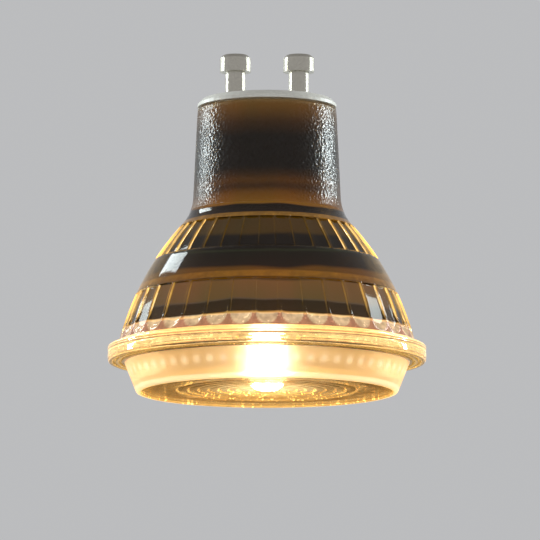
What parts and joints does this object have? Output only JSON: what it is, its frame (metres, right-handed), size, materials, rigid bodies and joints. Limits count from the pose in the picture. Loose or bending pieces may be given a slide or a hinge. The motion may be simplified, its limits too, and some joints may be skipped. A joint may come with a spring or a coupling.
{
  "type": "reflector spotlight bulb",
  "caption": "Pressed-glass reflector spotlight bulb with a fluted bowl, frosted ringed lens, light source and driver inside, and a twist-in two-pin base.",
  "frame": {"origin": "centre of the lens rim's foot, in the plane that the bulb rests on", "axes": "+Z along the bulb's axis, from the lens towards the contact pins; the two pins stand along X"},
  "size_m": [0.05, 0.05, 0.0536],
  "materials": {
    "pressed_glass": "clear pressed glass with a warm mirror film inside, fine orange peel on the neck",
    "lens_plastic": "frosted skirt and clear ringed face, lit warm white from inside",
    "aluminium": "spun, satin",
    "silicone_pad": "soft, matt",
    "white_board": "white solder mask",
    "ceramic": "white ceramic",
    "phosphor": "lit warm-white phosphor in clear silicone",
    "zinc_steel": "zinc plated",
    "ivory_plastic": "heatproof moulding, satin",
    "nickel_brass": "turned, nickel plated",
    "green_board": "fibreglass with green solder mask",
    "black_sleeve": "shrunk sleeve, satin gloss",
    "yellow_resin": "dipped resin",
    "ferrite": "pressed ferrite, matt",
    "copper_winding": "enamelled wire",
    "black_epoxy": "moulded epoxy",
    "resistor_lacquer": "flameproof lacquer",
    "blue_insulation": "wire insulation",
    "brown_insulation": "wire insulation",
    "black_insulation": "wire insulation",
    "red_insulation": "wire insulation"
  },
  "bodies": {
    "root": {"glass_body": "pressed_glass", "front_lens": "lens_plastic", "heat_spreader": "aluminium", "thermal_pad": "silicone_pad", "led_board": "white_board", "led_package": "ceramic", "led_phosphor": "phosphor", "board_screw_left": "zinc_steel", "board_screw_right": "zinc_steel", "base_plug": "ivory_plastic", "contact_pin_left": "nickel_brass", "contact_pin_right": "nickel_brass", "driver_board": "green_board", "bulk_capacitor": "black_sleeve", "film_capacitor": "yellow_resin", "choke_core": "ferrite", "choke_winding": "copper_winding", "bridge_rectifier": "black_epoxy", "controller_chip": "black_epoxy", "fuse_resistor": "resistor_lacquer", "neutral_lead": "blue_insulation", "live_lead": "brown_insulation", "led_lead_negative": "black_insulation", "led_lead_positive": "red_insulation"}
  },
  "joints": []
}
